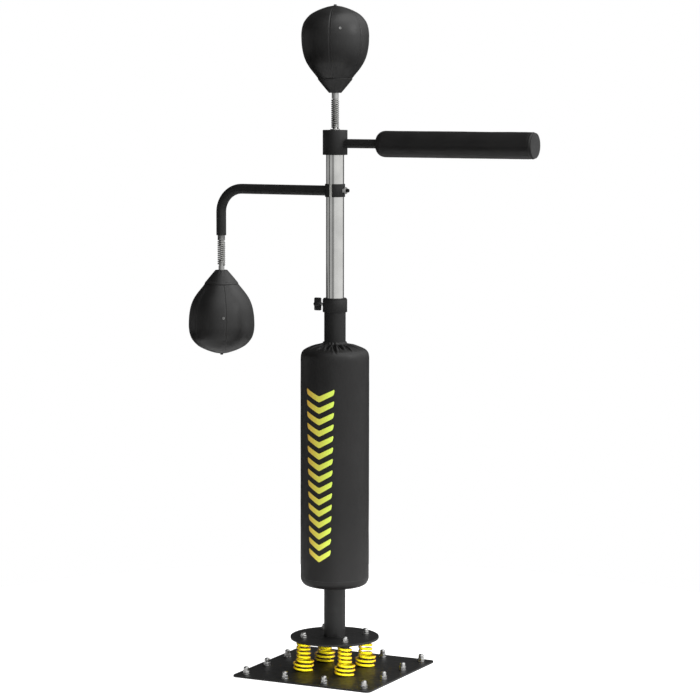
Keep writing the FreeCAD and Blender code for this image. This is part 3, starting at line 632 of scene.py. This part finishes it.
def pleat_lift(pleats, radius, angle, depth, neck):
    """Rise and fall of gathered leather: a narrow crease with a full ridge along each side."""
    lift = 0.0
    for fold in pleats:
        along = (radius - neck) / (fold["reach"] - neck)
        if along > 1:
            continue
        along = max(along, 0.0)
        away = abs(turn_between(angle, fold["angle"] + fold["lean"] * along)) * radius
        wide = fold["width"]
        if away > wide * 6:
            continue
        fade = (1 - along ** 2) * (0.7 + 0.5 * math.sin(math.pi * along))
        ridge = bell(away - 2.1 * wide, 1.1 * wide)
        lift += fold["depth"] * fade * (0.55 * ridge - bell(away, wide))
    return depth * max(lift, -1.3)


# Depth of the broad dents in the bag's wall, and of its finer puckers.
DENTS, PUCKERS = 0.0005, 0.00016


def wall_softness(angle, height):
    """How far the bag's wall stands out of true: broad, shallow dents and finer puckers."""
    at = polar(2.2, angle, height * 11)
    return noise.noise(at) * DENTS + noise.noise(at * 3.1) * PUCKERS


def level_out(p):
    """Straight out from the upright axis."""
    return Vector((p.x, p.y, 0)).normalized()


class REFLEXBAG_OT_bag(bpy.types.Operator):
    """Make the padded bag: leather wall, gathered crown and foot, neck cuff and back seam"""

    bl_idname = "reflexbag.bag"
    bl_label = "Bag"

    radius: length("Radius", "Radius of the bag's wall", BAG_RADIUS)

    def execute(self, context):
        sizes = context.scene.reflexbag_sizes
        low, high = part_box("bag_cover")
        foot, crown = low.z, high.z
        neck = 0.0318
        folds = pleat_pattern(sizes.pleats, 7)
        small_folds = pleat_pattern(18, 11, (0.050, 0.060))
        r = self.radius
        foot_round, crown_round = 0.036, 0.050
        top = [
            (r, crown - crown_round), (r, crown - 0.041), (r - 0.0001, crown - 0.034),
            (0.0951, crown - 0.0278), (0.0938, crown - 0.0218), (0.0915, crown - 0.0168),
            (0.0880, crown - 0.0127), (0.0835, crown - 0.0097), (0.0780, crown - 0.0074),
            (0.0700, crown - 0.0046), (0.0610, crown - 0.0022), (0.0520, crown - 0.0004),
            (0.0440, crown + 0.0006), (0.0380, crown + 0.0013), (0.0345, crown + 0.0021),
            (neck, crown + 0.0040),
        ]
        bottom = [
            (neck, foot + 0.0008), (0.040, foot + 0.0004), (0.055, foot), (r - 0.024, foot + 0.0004),
            (r - 0.0148, foot + 0.0024), (r - 0.0076, foot + 0.0066), (r - 0.0028, foot + 0.0130),
            (r - 0.0005, foot + 0.0196), (r, foot + 0.0262), (r, foot + foot_round),
        ]
        rise = crown - foot - foot_round - crown_round
        wall = [(r, foot + foot_round + rise * i / 120) for i in range(1, 120)]
        profile = smooth_profile(bottom, 4) + wall + smooth_profile(top, 7)
        middle = (foot + crown) / 2
        back = math.pi / 2
        seam_width = 0.0022

        def shape(radius, height, angle):
            seam = bell(turn_between(angle, back) * radius, seam_width) * sizes.seam_depth
            if radius > self.radius - 0.03:
                radius += wall_softness(angle, height) - seam
            if height > middle and radius < 0.0935:
                lift = pleat_lift(folds, radius, angle, sizes.pleat_depth, neck)
                turned = min(max((radius - 0.068) / 0.024, 0), 1)
                height += lift * (1 - 0.6 * turned)
                radius += lift * 0.8 * turned
            if height < middle and radius < 0.062:
                height -= pleat_lift(small_folds, radius, angle, sizes.pleat_depth * 0.3, neck)
            return radius, height

        cover = lathe("Bag_cover", profile, "leather", 540, shape)
        belongs(cover, "column", "black_leather", "bag_cover", "bag_core")

        hem_height = 0.0125

        def ruffle(radius, height, angle):
            share = (height - crown) / hem_height
            wave = 0.0
            for fold in folds:
                away = turn_between(angle, fold["angle"])
                wave += bell(away, 0.085) * fold["depth"]
            flare = 0.5 + 0.5 * max(share, 0)
            gather = wave * 0.0016 * flare
            return radius - gather + 0.0004 * math.sin(angle * 23), height - wave * 0.0012 * flare

        hem = [
            (0.0309, crown + 0.001), (0.0330, crown + 0.0020), (0.0341, crown + 0.0046),
            (0.0338, crown + 0.0078), (0.0331, crown + 0.0104), (0.0320, crown + 0.0116),
            (0.0311, crown + 0.0111), (0.0306, crown + 0.0095),
        ]
        cuff = lathe("Bag_neck_cuff", smooth_profile(hem, 4), "leather", 432, ruffle)
        belongs(cuff, "column", "black_webbing", "bag_neck_cuff")

        beside_seam, seam_foot, seam_length, ring_rise = 0.0052, 0.034, 0.595, 0.0255
        for side in (-1, 1):
            angle = back + side * beside_seam / r
            line = []
            for i in range(121):
                height = foot + seam_foot + seam_length * i / 120
                line.append(polar(r + wall_softness(angle, height), angle, height))
            stitches(f"Bag_back_stitching_{'right' if side > 0 else 'left'}", line, level_out, sizes,
                     "column", "black_leather")
        ring = [polar(r, TAU * i / 240, foot + ring_rise) for i in range(241)]
        stitches("Bag_foot_stitching", ring, level_out, sizes, "column", "black_leather")
        return {"FINISHED"}


class REFLEXBAG_OT_graphic(bpy.types.Operator):
    """Print a column of plain chevrons on the front of the bag"""

    bl_idname = "reflexbag.graphic"
    bl_label = "Print"

    azimuth: FloatProperty(name="Azimuth", description="Middle of the print round the bag",
                           default=math.radians(-90), subtype="ANGLE")
    top_width: length("Top width", "Width of the print at its top", 0.090)
    foot_width: length("Foot width", "Width of the print at its foot", 0.070)
    low: length("Foot", "Height of the print's lowest point", 0.321)
    high: length("Top", "Height of the print's highest point", 0.804)
    thick: length("Thickness", "Height of a chevron's band", 0.0165)
    drop: length("Drop", "How far a chevron's point hangs below its ends", 0.020)

    def execute(self, context):
        count = context.scene.reflexbag_sizes.chevrons
        pitch = (self.high - self.low - self.thick - self.drop) / (count - 1)
        parts = []
        for i in range(count):
            half = (self.top_width + (self.foot_width - self.top_width) * i / (count - 1)) / 2
            parts.append(self.chevron(half, self.high - pitch * i))
        piece = finish_mesh("Bag_print", merge(parts), "ink")
        belongs(piece, "column", "black_leather")
        return {"FINISHED"}

    def on_bag(self, across, height, out):
        """A point on the bag's wall, found from its place on the flat artwork."""
        angle = self.azimuth + across / BAG_RADIUS
        return polar(BAG_RADIUS + (wall_softness(angle, height) + out), angle, height)

    def chevron(self, half, top):
        """One bold chevron, point down: a thin skin of ink with a closed rim."""
        columns, lines = 48, 8
        mesh = bmesh.new()
        skins = []
        for out in (0.0004, -0.0006):
            rows = []
            for j in range(lines + 1):
                share = j / lines
                reach = half - 0.0035 * share - 0.0022 * (2 * share - 1) ** 4
                row = []
                for k in range(columns + 1):
                    across = 2 * k / columns - 1
                    fall = self.drop * (1 - math.sqrt(across ** 2 + 0.003)) + self.thick * share
                    row.append(mesh.verts.new(self.on_bag(across * reach, top - fall, out)))
                rows.append(row)
            skins.append(rows)
        for rows in skins:
            for low, high in zip(rows, rows[1:]):
                for k in range(columns):
                    mesh.faces.new((low[k], low[k + 1], high[k + 1], high[k]))
        rims = [
            rows[0] + [r[-1] for r in rows[1:]] + rows[-1][-2::-1] + [r[0] for r in rows[-2:0:-1]]
            for rows in skins
        ]
        for k in range(len(rims[0])):
            j = (k + 1) % len(rims[0])
            mesh.faces.new((rims[0][k], rims[0][j], rims[1][j], rims[1][k]))
        return mesh


class REFLEXBAG_OT_bar_pad(bpy.types.Operator):
    """Cover the spinning bar's foam: rounded start, gathered mouth, sewn end and long seam"""

    bl_idname = "reflexbag.bar_pad"
    bl_label = "Bar pad"

    def execute(self, context):
        sizes = context.scene.reflexbag_sizes
        low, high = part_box("bar_cover")
        axis = (low.z + high.z) / 2
        radius = (high.z - low.z) / 2
        start, end = low.x, high.x
        mouth = 0.0131
        under = -math.pi / 2
        seam_width, end_seam_width, end_seam_inset = 0.0018, 0.0011, 0.0075
        folds = pleat_pattern(11, 23, (0.024, 0.030))

        def to_world(p):
            return Vector((p.z, p.x, axis + p.y))

        start_round, end_round = 0.036, 0.012
        head = [
            (mouth, start + 0.0048), (0.0150, start + 0.0014), (0.0185, start + 0.0003),
            (0.0230, start + 0.0009),
            (0.0278, start + 0.0036), (0.0318, start + 0.0082), (0.0346, start + 0.0142),
            (radius - 0.0002, start + 0.0205), (radius, start + 0.0262), (radius, start + start_round),
        ]
        tail = [
            (radius, end - end_round), (radius, end - 0.0055), (radius - 0.0004, end - 0.0030),
            (radius - 0.0016, end - 0.0010), (radius - 0.0032, end), (radius - 0.0055, end),
            (0.0300, end - 0.0004), (0.015, end - 0.0005),
        ]
        run = end - start - start_round - end_round
        wall = [(radius, start + start_round + run * i / 90) for i in range(1, 90)]
        profile = smooth_profile(head, 5) + wall + smooth_profile(tail, 5)

        def shape(r, h, angle):
            at = polar(1.4, angle, h * 16)
            soft = noise.noise(at) * 0.00045 + noise.noise(at * 3.3) * 0.00014
            if r > radius - 0.004:
                r += soft
                r -= bell(turn_between(angle, under) * r, seam_width) * sizes.seam_depth * 0.8
                r -= bell(h - (end - end_seam_inset), end_seam_width) * sizes.seam_depth * 0.8
            if h < start + 0.03 and r < 0.030:
                h -= pleat_lift(folds, r, angle, 0.0022, mouth)
            return r, h

        cover = lathe("Bar_cover", profile, "leather", 360, shape, to_world, (False, True))
        belongs(cover, "bar", "black_leather", "bar_cover", "bar_foam")

        def outwards(p):
            return Vector((0, p.y, p.z - axis)).normalized()

        ring = [to_world(polar(radius - 0.0001, TAU * i / 120, end - 0.0050)) for i in range(121)]
        stitches("Bar_end_stitching", ring, outwards, sizes, "bar", "black_leather")
        beside_seam = 0.0045
        for side in (-1, 1):
            angle = under + side * beside_seam / radius
            line = [
                to_world(polar(radius, angle, start + 0.03 + (end - start - 0.045) * i / 60))
                for i in range(61)
            ]
            stitches(f"Bar_seam_stitching_{'back' if side > 0 else 'front'}", line, outwards, sizes,
                     "bar", "black_leather")
        return {"FINISHED"}


BALL_OUTLINE = [
    (0.0425, 0.0345), (0.0470, 0.0390), (0.0534, 0.0470), (0.0607, 0.0560), (0.0672, 0.0640),
    (0.0745, 0.0745), (0.0805, 0.0850), (0.0862, 0.0990), (0.0900, 0.1140), (0.0925, 0.1310),
    (0.0935, 0.1480), (0.0934, 0.1632), (0.0908, 0.1805), (0.0842, 0.1968), (0.0680, 0.2146),
    (0.0455, 0.2268), (0.0225, 0.2349), (0.0050, 0.2383),
]
CUFF_OUTLINE = [
    (0.0110, 0.0035), (0.0135, 0.0006), (0.0165, 0.0002), (0.0192, 0.0030), (0.0250, 0.0095),
    (0.0335, 0.0195), (0.0425, 0.0305), (0.0468, 0.0360), (0.0477, 0.0375), (0.0478, 0.0388),
    (0.0472, 0.0396), (0.0458, 0.0394),
]
EYELET_OUTLINE = [
    (0.0034, -0.0012), (0.0034, 0.0003), (0.0029, 0.0010), (0.0021, 0.0009), (0.0015, 0.0001),
    (0.0014, -0.0012),
]
VALVE_CORE = [(0.0015, -0.0010), (0.0015, -0.0002), (0.0010, 0.0), (0.0004, -0.0003)]
# Each valve's azimuth in degrees, its height and radius on the ball, and how far it faces up the ball.
VALVES = {"top_ball": (-54.5, 0.175, 0.0918, 0.24), "arm_ball": (-57.0, 0.130, 0.0924, -0.14)}
# The row of stitches round the cuff: its radius and height, and how far the cuff faces out and up there.
CUFF_STITCHES = (0.0446, 0.0331)
CUFF_SLOPE = (0.72, -0.69)


class REFLEXBAG_OT_balls(bpy.types.Operator):
    """Sew both leather balls: panels with sunk seams, conical cuff, stitching and valve"""

    bl_idname = "reflexbag.balls"
    bl_label = "Balls"

    seam_at: FloatProperty(name="First seam", description="Azimuth of the first panel seam",
                           default=math.radians(-52.7), subtype="ANGLE")

    def execute(self, context):
        for prefix, up in (("top_ball", 1), ("arm_ball", -1)):
            self.sew(context, prefix, up)
        return {"FINISHED"}

    def sew(self, context, prefix, up):
        sizes = context.scene.reflexbag_sizes
        low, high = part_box(f"{prefix}_cuff")
        neck = low.z if up > 0 else high.z
        centre = Vector(((low.x + high.x) / 2, (low.y + high.y) / 2, neck))
        first = self.seam_at if up < 0 else self.seam_at - math.radians(20)
        seams = [first + TAU * i / sizes.panels for i in range(sizes.panels)]
        name = prefix.capitalize()

        def to_world(p):
            return centre + Vector((p.x, p.y, p.z * up))

        seam_width, panel_swell = 0.0013, 0.0011

        def seam_dip(r, h, angle):
            nearest = min(abs(turn_between(angle, s)) for s in seams)
            panel = panel_swell * (math.cos(math.pi * (1 - nearest * sizes.panels / math.pi)) - 1) * 0.5
            at = polar(1.3, angle, h * 14 + 5 * up)
            groove = bell(nearest * r, seam_width) * sizes.seam_depth * 0.85
            fade = min(r / 0.03, 1)
            return r + fade * (panel + noise.noise(at) * 0.0005 - groove), h

        outline = smooth_profile(BALL_OUTLINE, 6)
        cover = lathe(f"{name}_cover", outline, "ball", 480, seam_dip, to_world, (False, True))
        belongs(cover, prefix, "ball_leather", f"{prefix}_cover", f"{prefix}_bladder")

        def gathered(r, h, angle):
            fold = math.sin(angle * 17 + 2 * math.sin(angle * 3)) * 0.00045 * max(0.0, 1 - h / 0.016)
            return r + fold, h

        cuff = lathe(f"{name}_cuff", smooth_profile(CUFF_OUTLINE, 5), "ball", 300, gathered, to_world)
        belongs(cuff, prefix, "ball_leather", f"{prefix}_cuff")

        def outwards(p):
            local = p - centre
            rise = Vector((0, 0, (local.z - up * 0.145) / 0.2))
            return (level_out(local) * 0.9 + rise).normalized()

        beside_seam = 0.0034
        seam_run = [(r, h) for r, h in outline if 0.052 < h < 0.229]
        for i, seam in enumerate(seams):
            for side in (-1, 1):
                line = []
                for r, h in seam_run:
                    angle = seam + side * beside_seam / r
                    sunk, height = seam_dip(r, h, angle)
                    line.append(to_world(polar(sunk, angle, height)))
                stitches(f"{name}_seam_{i + 1}{'a' if side < 0 else 'b'}", line, outwards, sizes,
                         prefix, "ball_leather")

        def cuff_normal(p):
            return (level_out(p - centre) * CUFF_SLOPE[0] + Vector((0, 0, CUFF_SLOPE[1] * up))).normalized()

        ring = [to_world(polar(CUFF_STITCHES[0], TAU * i / 160, CUFF_STITCHES[1])) for i in range(161)]
        stitches(f"{name}_cuff_stitching", ring, cuff_normal, sizes, prefix, "ball_leather")
        self.valve(name, prefix, centre, up, seam_dip)

    def valve(self, name, prefix, centre, up, seam_dip):
        """A small plated eyelet on the front panel, with a rubber core."""
        degrees, height, radius, slope = VALVES[prefix]
        angle = math.radians(degrees)
        r, h = seam_dip(radius, height, angle)
        out = polar(1, angle, slope * up).normalized()
        side = Vector((-math.sin(angle), math.cos(angle), 0))
        over = out.cross(side)
        spot = centre + polar(r, angle, h * up)

        def on_ball(p):
            return spot + side * p.x + over * p.y + out * p.z

        eyelet = lathe(f"{name}_valve_eyelet", smooth_profile(EYELET_OUTLINE, 4), "steel", 48, None, on_ball)
        belongs(eyelet, prefix, "steel")
        plug = lathe(f"{name}_valve_core", VALVE_CORE, "rubber", 32, None, on_ball, (True, True))
        belongs(plug, prefix, "black_rubber")


# Brightness of the room at angles round the bag; 0 is where the viewer stands, right is positive.
ROOM_LIGHT = (
    (-180, 0.03), (-100, 0.03), (-60, 0.05), (-35, 0.15), (-10, 0.45), (5, 0.65), (30, 0.80), (75, 0.88),
    (110, 0.80), (140, 0.45), (160, 0.20), (180, 0.06),
)
# The same for the row of cards at the height of the horizon, which the chrome mast mirrors.
CARD_LIGHT = (
    (-180, 0.12), (-130, 0.12), (-124, 0.50), (-86, 0.52), (-82, 0.14), (-69, 0.14), (-65, 0.68),
    (-42, 0.66), (-36, 0.34), (-16, 0.40), (-8, 1.0), (40, 1.1), (112, 1.1), (122, 0.14), (180, 0.12),
)
# How much of the cards shows, from straight down (-1) to straight up (1).
CARD_HEIGHT = ((-1, 0), (-0.17, 0), (-0.12, 1), (0.03, 1), (0.08, 0), (1, 0))
# How the rest of the room brightens from straight down to straight up.
ROOM_HEIGHT = ((-1, 0.2), (-0.3, 0.3), (0, 0.88), (0.3, 1.25), (0.8, 2.3), (1, 2.3))
# Turn that brings the room's zero round to the viewer, in degrees.
ROOM_TURN = 63.2
FLOOR_RADIUS = 1.6
FLOOR_DROP = 0.0004
# Where the camera stands, which way it looks, and its small roll in radians.
CAMERA_PLACE = (3.1955, -6.2338, 1.620)
CAMERA_AIM = (-0.4485, 0.888, -0.1016)
CAMERA_ROLL = 0.0015
# Each light: its place, the point it is aimed at, the side of its square, and its spread in degrees.
SOFT_BOX = ((4.4, 0.3, 3.2), (0, 0, 1.0), 1.3, 180)
LOW_LIGHT = ((1.75, -1.35, 0.34), (0, 0, 0.05), 0.3, 18)


class REFLEXBAG_OT_stage(bpy.types.Operator):
    """Set the camera, a plain pale floor and soft studio light"""

    bl_idname = "reflexbag.stage"
    bl_label = "Stage"

    lens: FloatProperty(name="Lens", description="Focal length of the camera in millimetres", default=130.2)

    def execute(self, context):
        stage = context.scene.reflexbag_stage
        scene = context.scene
        scene.view_settings.view_transform = "Standard"
        self.floor(stage)
        self.room(scene, stage)
        self.soft_box("Soft_box", stage.key, *SOFT_BOX)
        low_light = self.soft_box("Low_light", stage.low_key, *LOW_LIGHT)
        low_light.visible_glossy = False
        camera = bpy.data.objects.new("Camera", bpy.data.cameras.new("Camera"))
        scene.collection.objects.link(camera)
        camera.data.lens = self.lens
        camera.data.sensor_width = 36
        camera.location = CAMERA_PLACE
        aim = Vector(CAMERA_AIM).to_track_quat("-Z", "Y")
        camera.rotation_euler = (aim @ Quaternion((0, 0, 1), CAMERA_ROLL)).to_euler()
        camera.data.clip_end = 200
        scene.camera = camera
        return {"FINISHED"}

    def floor(self, stage):
        mesh = bmesh.new()
        bmesh.ops.create_circle(mesh, cap_ends=True, segments=192, radius=FLOOR_RADIUS)
        finish = Finish("Floor", tuple(stage.floor), 0.8)
        finish.tint(finish.speckle(0.8, 3), 0.985, 1.01)
        finish.shader.inputs["Emission Color"].default_value = (1, 1, 1, 1)
        seen = finish.node("ShaderNodeLightPath").outputs["Is Camera Ray"]
        finish.link(finish.mapped(seen, 0, stage.glow, 0, 1), finish.shader.inputs["Emission Strength"])
        MATERIALS["floor"] = finish.material
        floor = finish_mesh("Floor", mesh, "floor", smooth=False)
        floor.location.z = -FLOOR_DROP

    def room(self, scene, stage):
        """White walls, seen as such, that light the bag brightly from its right and dimly from its left."""
        world = bpy.data.worlds.new("Studio")
        world.use_nodes = True
        scene.world = world
        tree = world.node_tree
        tree.nodes.clear()
        new = tree.nodes.new
        link = tree.links.new
        coordinates = new("ShaderNodeTexCoord")
        turned = new("ShaderNodeMapping")
        turned.inputs["Rotation"].default_value = (0, 0, math.radians(ROOM_TURN))
        round_room = new("ShaderNodeTexGradient")
        round_room.gradient_type = "RADIAL"
        height = new("ShaderNodeSeparateXYZ")
        raised = new("ShaderNodeMapRange")
        raised.inputs["From Min"].default_value = -1
        link(coordinates.outputs["Generated"], turned.inputs["Vector"])
        link(turned.outputs["Vector"], round_room.inputs["Vector"])
        link(coordinates.outputs["Generated"], height.inputs["Vector"])
        link(height.outputs["Z"], raised.inputs["Value"])
        room = self.wall(tree, round_room.outputs["Fac"], ROOM_LIGHT)
        shades = [(0.5 + z / 2, grey * stage.room) for z, grey in ROOM_HEIGHT]
        link(self.ramp(tree, raised.outputs["Result"], shades), room.inputs["Strength"])
        cards = self.wall(tree, round_room.outputs["Fac"], CARD_LIGHT)
        shown = self.ramp(tree, raised.outputs["Result"], [(0.5 + z / 2, grey) for z, grey in CARD_HEIGHT])
        lights = new("ShaderNodeMixShader")
        link(shown, lights.inputs["Fac"])
        link(room.outputs["Background"], lights.inputs[1])
        link(cards.outputs["Background"], lights.inputs[2])
        walls = new("ShaderNodeBackground")
        walls.inputs["Color"].default_value = (1, 1, 1, 1)
        seen = new("ShaderNodeLightPath")
        mix = new("ShaderNodeMixShader")
        out = new("ShaderNodeOutputWorld")
        link(seen.outputs["Is Camera Ray"], mix.inputs["Fac"])
        link(lights.outputs["Shader"], mix.inputs[1])
        link(walls.outputs["Background"], mix.inputs[2])
        link(mix.outputs["Shader"], out.inputs["Surface"])

    def wall(self, tree, source, light):
        """A ring of wall whose brightness changes round the room."""
        glow = tree.nodes.new("ShaderNodeBackground")
        greys = self.ramp(tree, source, [(0.5 + degrees / 360, grey) for degrees, grey in light])
        tree.links.new(greys, glow.inputs["Color"])
        return glow

    def ramp(self, tree, source, stops):
        """Greys at places from 0 to 1, in order."""
        ramp = tree.nodes.new("ShaderNodeValToRGB")
        marks = ramp.color_ramp.elements
        for mark, (place, grey) in zip(marks, (stops[0], stops[-1])):
            mark.position = place
            mark.color = (grey, grey, grey, 1)
        for place, grey in stops[1:-1]:
            marks.new(place).color = (grey, grey, grey, 1)
        tree.links.new(source, ramp.inputs["Fac"])
        return ramp.outputs["Color"]

    def soft_box(self, name, power, place, aim, size, spread):
        """A square light at a place, aimed at a point."""
        light = bpy.data.lights.new(name, "AREA")
        light.shape = "RECTANGLE"
        light.size = light.size_y = size
        light.energy = power
        light.spread = math.radians(spread)
        box = bpy.data.objects.new(name, light)
        box.location = place
        box.rotation_euler = (Vector(aim) - Vector(place)).to_track_quat("-Z", "Y").to_euler()
        bpy.context.scene.collection.objects.link(box)
        return box


OPERATORS = (
    REFLEXBAG_OT_metalwork, REFLEXBAG_OT_base_springs, REFLEXBAG_OT_ball_springs, REFLEXBAG_OT_bag,
    REFLEXBAG_OT_graphic, REFLEXBAG_OT_bar_pad, REFLEXBAG_OT_balls, REFLEXBAG_OT_stage,
)


class REFLEXBAG_PT_pieces(bpy.types.Panel):
    """Lists the bag's pieces and finishes in the sidebar"""

    bl_label = "Reflex Bag"
    bl_idname = "REFLEXBAG_PT_pieces"
    bl_space_type = "VIEW_3D"
    bl_region_type = "UI"
    bl_category = "Reflex Bag"

    def draw(self, context):
        for group in ("reflexbag_finish", "reflexbag_sizes", "reflexbag_stage"):
            settings = getattr(context.scene, group)
            box = self.layout.box()
            for name in settings.__annotations__:
                box.prop(settings, name)
        for operator in OPERATORS:
            self.layout.operator(operator.bl_idname)


GROUPS = {
    "reflexbag_finish": ReflexBagFinish,
    "reflexbag_sizes": ReflexBagSizes,
    "reflexbag_stage": ReflexBagStage,
}


def register():
    for group in GROUPS.values():
        bpy.utils.register_class(group)
    for name, group in GROUPS.items():
        setattr(bpy.types.Scene, name, PointerProperty(type=group))
    for item in (*OPERATORS, REFLEXBAG_PT_pieces):
        bpy.utils.register_class(item)


def unregister():
    for item in reversed((*OPERATORS, REFLEXBAG_PT_pieces)):
        bpy.utils.unregister_class(item)
    for name, group in GROUPS.items():
        delattr(bpy.types.Scene, name)
        bpy.utils.unregister_class(group)


def main():
    register()
    for operator in OPERATORS:
        group, name = operator.bl_idname.split(".")
        getattr(getattr(bpy.ops, group), name)()


if __name__ == "__main__":
    main()
